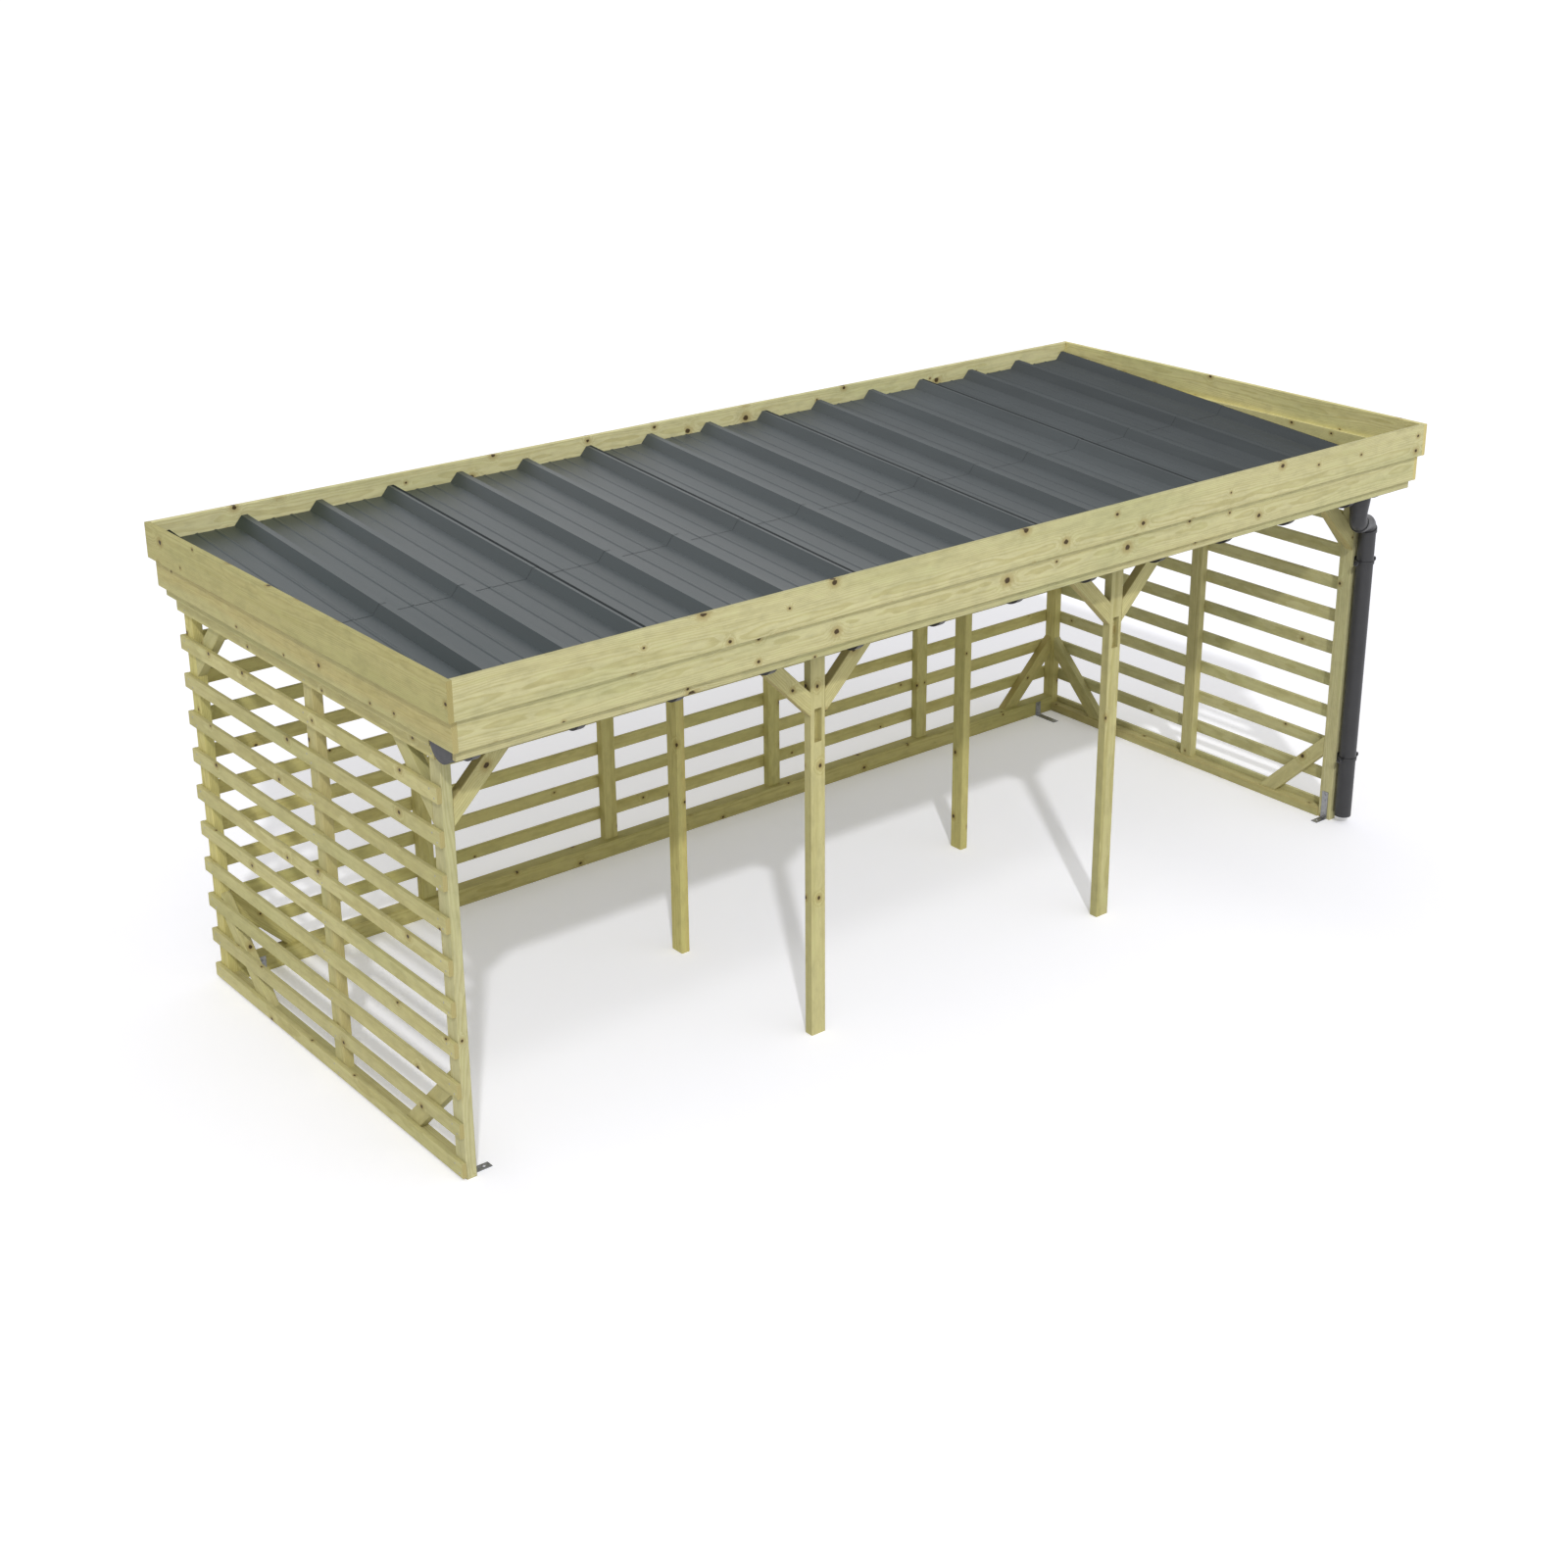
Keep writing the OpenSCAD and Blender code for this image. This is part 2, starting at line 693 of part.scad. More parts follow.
// An angle bracket in the X-Z plane with its outer corner at the origin
module angle_bracket(upright, foot) {
    r_in = anchor_bend;
    r_out = anchor_bend + anchor_t;
    screw_r = 3;
    difference() {
        translate([0, anchor_w / 2, 0]) rotate([90, 0, 0]) linear_extrude(anchor_w)
            polygon(concat(
                arc([r_out, r_out], r_out, 180, 270),
                [[foot, 0], [foot, anchor_t]],
                arc([r_out, r_out], r_in, 270, 180),
                [[anchor_t, upright], [0, upright]]
            ));
        translate([foot - anchor_edge, 0, -1]) cylinder(d = anchor_hole, h = anchor_t + 2);
        for (z = [upright - anchor_w / 2, upright - 1.3 * anchor_w])
            translate([-1, 0, z]) rotate([0, 90, 0]) cylinder(r = screw_r, h = anchor_t + 2);
    }
}

// Galvanised brackets inside the four corners of the frame
module anchor_brackets() {
    color(zinc)
    for (side = [-1, 1]) {
        translate([side * post_in, frame_front + post_w / 2, 0])
            rotate([0, 0, side < 0 ? 0 : 180]) angle_bracket(anchor_long, anchor_short);
        translate([side * (post_in - anchor_in), frame_back - post_w, 0])
            rotate([0, 0, -90]) angle_bracket(anchor_short, anchor_long);
    }
}

corner_post(-1, frame_front);  // corner_post_front_left
corner_post(1, frame_front);  // corner_post_front_right
corner_post(-1, frame_back - post_w);  // corner_post_back_left
corner_post(1, frame_back - post_w);  // corner_post_back_right
front_posts();
middle_posts();
back_studs();
side_studs();
side_rail(-1);  // rail_left
side_rail(1);  // rail_right
rail_back();
side_slats(-1);  // slats_left
side_slats(1);  // slats_right
slats_back();
color(wood) beam(-post_in, post_in, frame_front, frame_front + post_t, plate_z);  // beam_front
color(wood_inside)  // beam_middle
        beam(-frame_x, frame_x, middle_y - post_t / 2, middle_y + post_t / 2, middle_beam_z);
color(wood_inside) beam(-post_in, post_in, frame_back - post_t, frame_back, back_beam_z);  // beam_back
side_plates();
side_rafters();
braces_front();
side_braces(-1);  // braces_left
side_braces(1);  // braces_right
braces_back();
long_board(half_l - board_t, -half_d, top_z);  // fascia_front_top
long_board(half_l - 2 * board_t, -half_d + board_t, middle_z);  // fascia_front_middle
long_board(half_l - 2 * board_t, -half_d + 2 * board_t, low_z);  // fascia_front_low
long_board(half_l - board_t, half_d - board_t, top_z);  // fascia_back_top
long_board(half_l - 2 * board_t, half_d - 2 * board_t, middle_z);  // fascia_back_middle
long_board(half_l - parapet_t, half_d - parapet_t, low_z);  // fascia_back_low
side_board(-1, 0, top_z);  // fascia_left_top
side_board(-1, 1, middle_z);  // fascia_left_middle
side_low_board(-1);  // fascia_left_low
side_board(1, 0, top_z);  // fascia_right_top
side_board(1, 1, middle_z);  // fascia_right_middle
side_low_board(1);  // fascia_right_low
roof_sheet();
gutter();
gutter_spout();
gutter_brackets();
outlet_elbow();
neck_pipe();
lower_elbow();
downpipe();
pipe_clamps();
anchor_brackets();
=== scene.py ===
"""Finishes, fixings and stage for an open-fronted firewood shelter."""

import math

import bmesh
import bpy
from mathutils import Matrix, Vector


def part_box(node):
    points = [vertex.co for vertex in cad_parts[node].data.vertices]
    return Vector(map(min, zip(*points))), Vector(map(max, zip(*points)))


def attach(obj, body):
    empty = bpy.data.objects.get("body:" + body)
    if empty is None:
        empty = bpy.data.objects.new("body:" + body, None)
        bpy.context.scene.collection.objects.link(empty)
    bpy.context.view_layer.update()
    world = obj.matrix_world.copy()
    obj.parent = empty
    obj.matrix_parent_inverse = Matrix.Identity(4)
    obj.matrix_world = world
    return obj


bl_info = {
    "name": "Firewood shelter",
    "version": (1, 0, 0),
    "blender": (4, 5, 0),
    "location": "3D View > Sidebar > Shelter",
    "description": "Finishes, fixings and stage for a slatted firewood shelter",
    "category": "Object",
}

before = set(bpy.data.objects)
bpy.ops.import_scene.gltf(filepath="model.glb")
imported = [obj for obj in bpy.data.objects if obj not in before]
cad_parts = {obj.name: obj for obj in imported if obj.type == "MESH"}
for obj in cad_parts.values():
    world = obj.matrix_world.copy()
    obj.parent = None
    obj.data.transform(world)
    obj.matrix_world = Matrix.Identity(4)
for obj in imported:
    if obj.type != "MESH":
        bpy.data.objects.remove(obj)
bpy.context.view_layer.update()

X, Y, Z = Vector((1, 0, 0)), Vector((0, 1, 0)), Vector((0, 0, 1))
FAR = 1000.0  # longer than anything here, where a pattern doesn't repeat
WHITE = (1, 1, 1, 1)

# Sizes that the fixings and the grain follow, in metres. The bracket tops are the heights
# of their upright arms; a clamp's ears reach CLAMP_EAR past the downpipe, and their front
# is CLAMP_FACE before its axis
POST = 0.07
SLAT = 0.06
SLAT_ROWS = 11
BRACKET_STEEL = 0.003
BRACKET_WIDTH = 0.035
FRONT_BRACKET_TOP = 0.140
BACK_BRACKET_TOP = 0.075
BACK_BRACKET_IN = 0.108
CLAMP_HEIGHTS = (0.336, 1.326)
CLAMP_EAR = 0.026
CLAMP_FACE = 0.005


# ---------------------------------------------------------------- settings


def colour_prop(name, description, default):
    return bpy.props.FloatVectorProperty(
        name=name, description=description, subtype="COLOR", size=3, min=0, max=1, default=default
    )


def length_prop(name, description, default):
    return bpy.props.FloatProperty(
        name=name, description=description, subtype="DISTANCE", unit="LENGTH", min=0,
        default=default,
    )


def share_prop(name, description, default, top=1.0):
    return bpy.props.FloatProperty(
        name=name, description=description, subtype="FACTOR", min=0, max=top, default=default
    )


class ShelterTimber(bpy.types.PropertyGroup):
    early: colour_prop("Early wood", "The pale wood between the rings", (0.590, 0.553, 0.310))
    late: colour_prop("Late wood", "The darker line of each ring", (0.455, 0.41, 0.185))
    green: colour_prop("Treatment", "Green cast of the pressure treatment", (0.44, 0.45, 0.225))
    warm: colour_prop("Heartwood", "Warmer zones near the heart of the tree", (0.545, 0.45, 0.20))
    knot: colour_prop("Knot", "The hard core of a knot", (0.046, 0.027, 0.013))
    halo: colour_prop("Knot edge", "The resinous wood round a knot", (0.34, 0.255, 0.095))
    ring: length_prop("Ring", "Distance from one growth ring to the next", 0.0056)
    knot_run: length_prop("Knot run", "Length of board that can hold one knot", 0.30)
    knot_row: length_prop("Knot row", "Width of board that can hold one knot", 0.085)
    knot_least: length_prop("Smallest knot", "Radius of the smallest knots", 0.0042)
    knot_most: length_prop("Largest knot", "Radius of the largest knots of knotty wood", 0.021)
    # Painted shade: the walls, posts, braces and side timbers under the eaves get darker, yellower
    # wood than the front boards
    eaves_painted_shade: colour_prop("Under the eaves", "Factor on the walls and posts", (0.95, 0.93, 0.82))
    # Painted shade: the left end's top board gets darker, yellower wood than the rest
    left_top_painted_shade: colour_prop("Shaded board", "Factor on the left end's top board", (0.83, 0.81, 0.67))
    # Painted shade: the back wall, its studs and braces, the back corner posts, the middle posts
    # and the back rail and beams get more saturated, yellower wood
    inside: colour_prop("Inside", "Factor on the back wall and the middle posts", (1.0, 0.96, 0.70))
    # Painted light: the right wall's slats are lighter than the walls under the eaves
    slats_right: colour_prop("Right wall", "Factor on the right wall's slats", (1.0, 1.0, 0.93))
    # Painted light: the parapet boards of the right end are brightened, over the painted shade of
    # the ends
    right_end_painted_light: share_prop("Right end", "Factor on the parapet boards of the right end", 1.38, 2.0)
    # Painted light: the parapet boards of the back are brightened
    back_edge_painted_light: share_prop("Back edge", "Factor on the parapet boards of the back", 1.16, 2.0)
    relief: length_prop("Relief", "Depth of the grain after planing", 0.0006)


class ShelterMetal(bpy.types.PropertyGroup):
    roof: colour_prop("Roof", "Top coat of the roof sheet", (0.004, 0.017, 0.021))
    # Partly dust, partly painted light: the paler coat that evens the flats and the rib flanks
    # towards the roof's right end
    roof_dust_and_painted_light: colour_prop("Roof dust", "Dust towards the roof's right end", (0.097, 0.108, 0.113))
    roof_back: colour_prop("Roof underside", "Backing coat of the roof sheet", (0.20, 0.21, 0.215))
    gutter: colour_prop("Gutter", "Coat of the gutter and the pipes", (0.027, 0.027, 0.029))
    zinc: colour_prop("Zinc", "Galvanised steel", (0.36, 0.365, 0.38))
    roof_gloss: share_prop("Roof roughness", "Roughness of the roof's top coat", 0.40)
    gutter_gloss: share_prop("Gutter roughness", "Roughness of the gutter's coat", 0.40)
    sheet_run: length_prop("Sheet width", "Width of one roof sheet, lap to lap", 0.994)
    first_lap: bpy.props.FloatProperty(
        name="First lap", description="Place of a side lap on the X axis",
        subtype="DISTANCE", unit="LENGTH", default=-1.4748,
    )
    end_lap: length_prop("End lap", "Distance from the middle beam to the end lap", 0.030)


class ShelterFixings(bpy.types.PropertyGroup):
    head: length_prop("Screw head", "Diameter of a timber screw's head", 0.0080)
    proud: length_prop("Screw stand", "Height of a screw head above the timber", 0.0006)
    pair: length_prop("Screw pair", "Distance between the two screws of a crossing", 0.030)
    bolt: length_prop("Clamp bolt", "Width of a clamp bolt's head", 0.013)
    bolt_rise: length_prop("Clamp bolt's height", "Height of a clamp bolt's head", 0.0045)
    bracket_head: length_prop("Bracket screw", "Width of a bracket screw's head", 0.008)
    bracket_rise: length_prop("Bracket screw's height", "Height of that head", 0.0035)
    washer: length_prop("Washer", "Diameter of a bracket screw's washer", 0.011)
    washer_rise: length_prop("Washer's height", "Height of the washer, half of it hidden", 0.0024)


class ShelterStage(bpy.types.PropertyGroup):
    floor: share_prop("Floor", "Brightness of the floor", 0.92)
    shown: share_prop("Floor shade", "How strongly the floor shows its shadows", 0.95, 2.0)
    lift: share_prop("Floor lift", "Light that the floor shows by itself", 0.20)
    # Painted light: a pool of light that the floor shows by itself before the open front
    pool: share_prop("Front pool", "Extra light that the floor shows before the open front", 0.075)
    sky: share_prop("Sky", "Even light from all round", 0.60, 4.0)
    key: share_prop("Key light", "Light from the front left, which casts the shadows", 1.2, 8.0)
    fill: share_prop("Fill light", "Soft light from the front", 0.42, 8.0)


# ---------------------------------------------------------------- node helpers


def add_node(tree, kind, inputs=None, **settings):
    """Adds a shader node; each input is a value or another node's output."""
    made = tree.nodes.new(kind)
    for key, value in settings.items():
        setattr(made, key, value)
    for key, value in (inputs or {}).items():
        if isinstance(value, bpy.types.NodeSocket):
            tree.links.new(value, made.inputs[key])
        else:
            made.inputs[key].default_value = value
    return made


def sums(tree, operation, a, b=0.0, c=0.0):
    return add_node(tree, "ShaderNodeMath", {0: a, 1: b, 2: c}, operation=operation).outputs[0]


def points(tree, operation, a, b=(0, 0, 0), c=(0, 0, 0)):
    made = add_node(tree, "ShaderNodeVectorMath", {0: a, 1: b, 2: c}, operation=operation)
    return made.outputs["Value" if operation in ("LENGTH", "DOT_PRODUCT") else "Vector"]


def fade(tree, value, start, end, low=0.0, high=1.0, kind="SMOOTHSTEP"):
    """A value that goes from low to high while the input goes from start to end."""
    return add_node(
        tree,
        "ShaderNodeMapRange",
        {"Value": value, "From Min": start, "From Max": end, "To Min": low, "To Max": high},
        interpolation_type=kind,
    ).outputs[0]


def blend_colours(tree, share, a, b):
    made = add_node(tree, "ShaderNodeMix", {"Factor": share}, data_type="RGBA")
    for socket, value in ((made.inputs[6], a), (made.inputs[7], b)):
        if isinstance(value, bpy.types.NodeSocket):
            tree.links.new(value, socket)
        else:
            socket.default_value = (*value, 1.0)
    return made.outputs[2]


def noise(tree, vector, scale=1.0, detail=2.0, rough=0.5):
    return add_node(
        tree,
        "ShaderNodeTexNoise",
        {"Vector": vector, "Scale": scale, "Detail": detail, "Roughness": rough},
    ).outputs[0]


def axes(tree, vector):
    """The three parts of a point."""
    return add_node(tree, "ShaderNodeSeparateXYZ", {0: vector}).outputs


def object_point(tree):
    return add_node(tree, "ShaderNodeTexCoord").outputs["Object"]


def bare_normal(tree):
    return add_node(tree, "ShaderNodeNewGeometry").outputs["Normal"]


def between(tree, share, low, high):
    """Goes evenly from low to high while a share goes from 0 to 1."""
    return fade(tree, share, 0.0, 1.0, low, high, "LINEAR")


def spread(tree, value, low, high):
    """Goes evenly from low to high over the usual reach of a noise."""
    return fade(tree, value, 0.3, 0.7, low, high, "LINEAR")


def product(tree, *values):
    result = values[0]
    for value in values[1:]:
        result = sums(tree, "MULTIPLY", result, value)
    return result


def toned(tree, colour, tone):
    """A colour scaled by a tone."""
    if not isinstance(colour, bpy.types.NodeSocket):
        plain = add_node(tree, "ShaderNodeRGB").outputs[0]
        plain.default_value = (*colour, 1.0)
        colour = plain
    scaled = points(tree, "SCALE", colour)
    tree.links.new(tone, scaled.node.inputs["Scale"])
    return scaled


def add_relief(tree, shader, *layers):
    """Stacks bumps on the shader's normal; each layer is (height, depth, strength)."""
    normal = None
    for height, depth, strength in layers:
        inputs = {"Height": height, "Distance": depth, "Strength": strength}
        if normal is not None:
            inputs["Normal"] = normal
        normal = add_node(tree, "ShaderNodeBump", inputs).outputs[0]
    tree.links.new(normal, shader.inputs["Normal"])


def stretched(tree, vector, along, across):
    """Scales a board's own point: along the grain and across it."""
    return points(tree, "MULTIPLY", vector, (along, across, across))


def empty_tree(owner):
    """Turns on the nodes of a material or a world and clears them."""
    owner.use_nodes = True
    owner.node_tree.nodes.clear()
    return owner.node_tree


def seen_directly(tree):
    """1 where the camera, a reflection or glass looks, and 0 where light only bounces."""
    path = add_node(tree, "ShaderNodeLightPath").outputs
    shiny = sums(tree, "MAXIMUM", path["Is Glossy Ray"], path["Is Transmission Ray"])
    return sums(tree, "MAXIMUM", path["Is Camera Ray"], shiny)


def new_material(name):
    material = bpy.data.materials.new(name)
    tree = empty_tree(material)
    shader = add_node(tree, "ShaderNodeBsdfPrincipled")
    out = add_node(tree, "ShaderNodeOutputMaterial", {"Surface": shader.outputs[0]})
    out.location = (300, 0)
    return material, tree, shader


def dress(node, material):
    """Gives a CAD node its finish."""
    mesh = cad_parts[node].data
    mesh.materials.clear()
    mesh.materials.append(material)


def middle(node):
    low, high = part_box(node)
    return (low + high) / 2


# ---------------------------------------------------------------- timber


def softwood_group():
    """The wood itself: growth rings round a heart outside the board, fibres and knots."""
    name = "Planed softwood"
    if name in bpy.data.node_groups:
        return bpy.data.node_groups[name]
    wood = bpy.context.scene.shelter_timber
    group = bpy.data.node_groups.new(name, "ShaderNodeTree")
    for socket, kind, way in (
        ("Board point", "NodeSocketVector", "INPUT"),
        ("Board chance", "NodeSocketVector", "INPUT"),
        ("Sawn end", "NodeSocketFloat", "INPUT"),
        ("Knots", "NodeSocketFloat", "INPUT"),
        ("Colour", "NodeSocketColor", "OUTPUT"),
        ("Roughness", "NodeSocketFloat", "OUTPUT"),
        ("Height", "NodeSocketFloat", "OUTPUT"),
    ):
        group.interface.new_socket(socket, in_out=way, socket_type=kind)
    given = add_node(group, "NodeGroupInput").outputs
    chance = axes(group, given["Board chance"])
    shift = points(group, "MULTIPLY", given["Board chance"], (41.0, 0, 0))
    point = points(group, "ADD", given["Board point"], shift)
    board = axes(group, point)

    # Knots: one chance in each cell of the board's unrolled surface. reach is the distance
    # from the knot in knot radii; the grain swirls out to seven of them
    row = sums(group, "ADD", sums(group, "ADD", board[1], board[2]), product(group, chance[1], 5.3))
    cell = Vector((wood.knot_run, wood.knot_row, 1.0))
    flat = add_node(group, "ShaderNodeCombineXYZ", {0: board[0], 1: row}).outputs[0]
    flat = points(group, "DIVIDE", flat, cell)
    found = add_node(
        group, "ShaderNodeTexVoronoi", {"Vector": flat, "Scale": 1.0}, voronoi_dimensions="2D"
    )
    away = points(group, "MULTIPLY", points(group, "SUBTRACT", flat, found.outputs["Position"]),
                  Vector((wood.knot_run * 0.82, wood.knot_row, 0)))
    ragged = fade(group, noise(group, point, 95.0, 2.0), 0.2, 0.8, 0.78, 1.22, "LINEAR")
    pick = add_node(group, "ShaderNodeSeparateColor", {0: found.outputs["Color"]}).outputs
    largest = product(group, given["Knots"], wood.knot_most)
    size = between(group, sums(group, "POWER", pick[1], 1.6), wood.knot_least, largest)
    reach = product(group, points(group, "LENGTH", away), ragged)
    reach = sums(group, "DIVIDE", reach, size)
    there = sums(group, "LESS_THAN", pick[0], given["Knots"])
    core = product(group, fade(group, reach, 1.15, 0.7), there)
    halo = product(group, fade(group, reach, 3.4, 0.9), there)
    swirl = product(group, fade(group, reach, 7.0, 0.0), there)
    swirl = product(group, sums(group, "POWER", swirl, 2.0), 0.016)

    # Rings: distance from a heart line that wanders below the board, or beside it
    wander = noise(group, stretched(group, point, 0.75, 2.0), 1.0, 1.0)
    wander = sums(group, "SUBTRACT", wander, 0.5)
    quiver = noise(group, stretched(group, point, 4.5, 16.0), 1.0, 2.0)
    quiver = sums(group, "SUBTRACT", quiver, 0.5)
    across = sums(group, "MULTIPLY_ADD", wander, 0.085, board[1])
    across = sums(group, "MULTIPLY_ADD", sums(group, "SUBTRACT", chance[1], 0.5), 0.11, across)
    deep = sums(group, "MULTIPLY_ADD", quiver, 0.010, sums(group, "ADD", board[2], 0.030))
    deep = sums(group, "MULTIPLY_ADD", chance[2], 0.045, deep)
    heart = add_node(group, "ShaderNodeCombineXYZ", {1: across, 2: deep}).outputs[0]
    radius = sums(group, "ADD", points(group, "LENGTH", heart), swirl)
    radius = sums(group, "MULTIPLY_ADD", quiver, 0.0035, radius)
    ring = sums(group, "FRACT", sums(group, "DIVIDE", radius, wood.ring))
    late = product(group, fade(group, ring, 0.35, 0.86), fade(group, ring, 1.0, 0.93))
    years = add_node(group, "ShaderNodeCombineXYZ", {0: radius}).outputs[0]
    years = noise(group, years, 62.0, 2.0, 0.6)
    heartwood = fade(group, radius, 0.055, 0.030)

    # Fibres: long thin streaks
    streak = noise(group, stretched(group, point, 1.6, 58.0), 1.0, 3.0, 0.55)
    fibre = noise(group, stretched(group, point, 22.0, 900.0), 1.0, 2.0, 0.6)
    blotch = noise(group, stretched(group, point, 1.1, 5.0), 1.0, 2.0)
    mottle = noise(group, stretched(group, point, 14.0, 32.0), 1.0, 3.0, 0.6)
    saw = noise(group, point, 420.0, 2.0)

    # Colour: rings first, then streaks, patches, knots and sawn ends over them
    lines = product(group, late, fade(group, years, 0.3, 0.7, 0.35, 0.85))
    tint = wood.early
    for share, colour in (
        (lines, wood.late),
        (fade(group, streak, 0.48, 0.74, 0.0, 0.42), wood.late),
        (fade(group, blotch, 0.42, 0.74, 0.0, 0.42), wood.green),
        (product(group, heartwood, 0.38), wood.warm),
        (fade(group, mottle, 0.52, 0.72, 0.0, 0.30), wood.green),
    ):
        tint = blend_colours(group, share, tint, colour)
    tone = product(
        group,
        fade(group, fibre, 0.25, 0.75, 0.90, 1.07, "LINEAR"),
        between(group, chance[2], 0.93, 1.05),
        fade(group, streak, 0.28, 0.5, 1.05, 1.0),
        spread(group, mottle, 0.90, 1.10),
    )
    tint = toned(group, tint, tone)
    tint = blend_colours(group, product(group, halo, 0.62), tint, wood.halo)
    tint = blend_colours(group, product(group, core, 0.94), tint, wood.knot)
    cut = blend_colours(group, product(group, late, 0.75), wood.early, wood.late)
    cut = blend_colours(group, fade(group, saw, 0.35, 0.65, 0.1, 0.45), cut, wood.warm)
    cut = points(group, "MULTIPLY", cut, (0.84, 0.82, 0.80))
    tint = blend_colours(group, given["Sawn end"], tint, cut)

    rough = between(group, late, 0.72, 0.60)
    rough = sums(group, "SUBTRACT", rough, product(group, core, 0.18))
    height = sums(group, "MULTIPLY_ADD", late, 0.35, product(group, fibre, 0.55))
    height = sums(group, "MULTIPLY_ADD", core, -0.5, height)
    height = sums(group, "MULTIPLY_ADD", product(group, saw, given["Sawn end"]), 0.8, height)
    add_node(group, "NodeGroupOutput", {"Colour": tint, "Roughness": rough, "Height": height})
    return group


def timber_finish(node, grain, wide, pitch=None, first=None, fold=None, knots=0.5, tone=(1, 1, 1)):
    """A board material. grain and wide are the directions of the grain and of the wide face.

    pitch gives the distance between like pieces of the node on each axis, so that each one
    gets its own piece of the tree, and fold mirrors pieces that stand mirrored: an axis in it
    is (origin, half period)."""
    wood = bpy.context.scene.shelter_timber
    material, tree, shader = new_material("timber_" + node)
    place = object_point(tree)
    centre = middle(node)
    size = Vector(pitch or (0, 0, 0))
    start = Vector([
        (first[i] if first else centre[i]) - (size[i] or FAR) / 2 for i in range(3)
    ])
    size = Vector([s or FAR for s in size])
    index = points(tree, "DIVIDE", points(tree, "SUBTRACT", place, start), size)
    index = points(tree, "FLOOR", index)
    # Each node draws its own boards
    seed = Vector((sum(map(ord, node)) % 97, len(node), sum(map(ord, node[-4:])) % 31))
    chance = points(tree, "ADD", index, seed)
    chance = add_node(
        tree, "ShaderNodeTexWhiteNoise", {"Vector": chance}, noise_dimensions="3D"
    ).outputs["Color"]
    if fold:
        origin = Vector([f[0] if f else -FAR for f in fold])
        half = Vector([f[1] if f else 4 * FAR for f in fold])
        local = points(tree, "WRAP", points(tree, "SUBTRACT", place, origin), half, -half)
        local = points(tree, "ABSOLUTE", local)
    else:
        own = points(tree, "MULTIPLY_ADD", index, size, start + size / 2)
        local = points(tree, "SUBTRACT", place, own)
    third = grain.cross(wide).normalized()
    # The board's own axes: along the grain, across the wide face, through the board
    turn = Matrix((grain.normalized(), wide.normalized(), third)).to_euler()
    board = add_node(tree, "ShaderNodeMapping", {"Vector": local, "Rotation": turn}).outputs[0]
    facing_grain = points(tree, "ABSOLUTE", bare_normal(tree))
    facing_grain = points(tree, "DOT_PRODUCT", facing_grain, grain.normalized())
    sawn = sums(tree, "GREATER_THAN", sums(tree, "ABSOLUTE", facing_grain), 0.6)
    body = add_node(
        tree,
        "ShaderNodeGroup",
        {"Board point": board, "Board chance": chance, "Sawn end": sawn, "Knots": knots},
        node_tree=softwood_group(),
    ).outputs
    tree.links.new(points(tree, "MULTIPLY", body["Colour"], tone), shader.inputs["Base Color"])
    tree.links.new(body["Roughness"], shader.inputs["Roughness"])
    add_relief(tree, shader, (body["Height"], wood.relief, 0.8))
    shader.inputs["Specular IOR Level"].default_value = 0.14
    dress(node, material)


def ends_apart(node):
    """Where the first of a node's two like pieces is, and how far the other one is."""
    low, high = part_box(node)
    return {"pitch": (high.x - low.x, 0, 0), "first": (low.x, 0, 0)}


class SHELTER_OT_posts(bpy.types.Operator):
    """Planed posts: corner posts, front posts, middle posts and the studs of the walls"""

    bl_idname = "shelter.posts"
    bl_label = "Posts and studs"

    def execute(self, context):
        wood = context.scene.shelter_timber
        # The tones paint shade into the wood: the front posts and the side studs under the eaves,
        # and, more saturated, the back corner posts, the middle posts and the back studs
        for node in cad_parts:
            if node.startswith("corner_post"):
                tone = (1, 1, 1) if "front" in node else wood.inside
                timber_finish(node, Z, Y, knots=0.42, tone=tone)
        for node, wide, tone in (
            ("front_posts", X, wood.eaves_painted_shade),
            ("middle_posts", Y, wood.inside),
            ("side_studs", Y, wood.eaves_painted_shade),
        ):
            timber_finish(node, Z, wide, **ends_apart(node), knots=0.42, tone=tone)
        low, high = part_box("back_studs")
        timber_finish("back_studs", Z, X, pitch=((high.x - low.x - POST) / 3, 0, 0),
                      first=(low.x + POST / 2, 0, 0), knots=0.45, tone=wood.inside)
        return {"FINISHED"}


class SHELTER_OT_beams(bpy.types.Operator):
    """Rails, plates, beams and rafters"""

    bl_idname = "shelter.beams"
    bl_label = "Rails, beams and rafters"

    def execute(self, context):
        wood = context.scene.shelter_timber
        # The tones paint shade into the wood: the front beam and the side rails, plates and rafters
        # under the eaves, and, more saturated, the back rail and the middle and back beams
        for node in ("rail_back", "beam_front", "beam_middle", "beam_back"):
            tone = wood.eaves_painted_shade if node == "beam_front" else wood.inside
            timber_finish(node, X, Z, knots=0.45, tone=tone)
        for node in ("rail_left", "rail_right"):
            timber_finish(node, Y, Z, knots=0.45, tone=wood.eaves_painted_shade)
        for node in ("side_plates", "side_rafters"):
            timber_finish(node, Y, Z, **ends_apart(node), tone=wood.eaves_painted_shade)
        return {"FINISHED"}


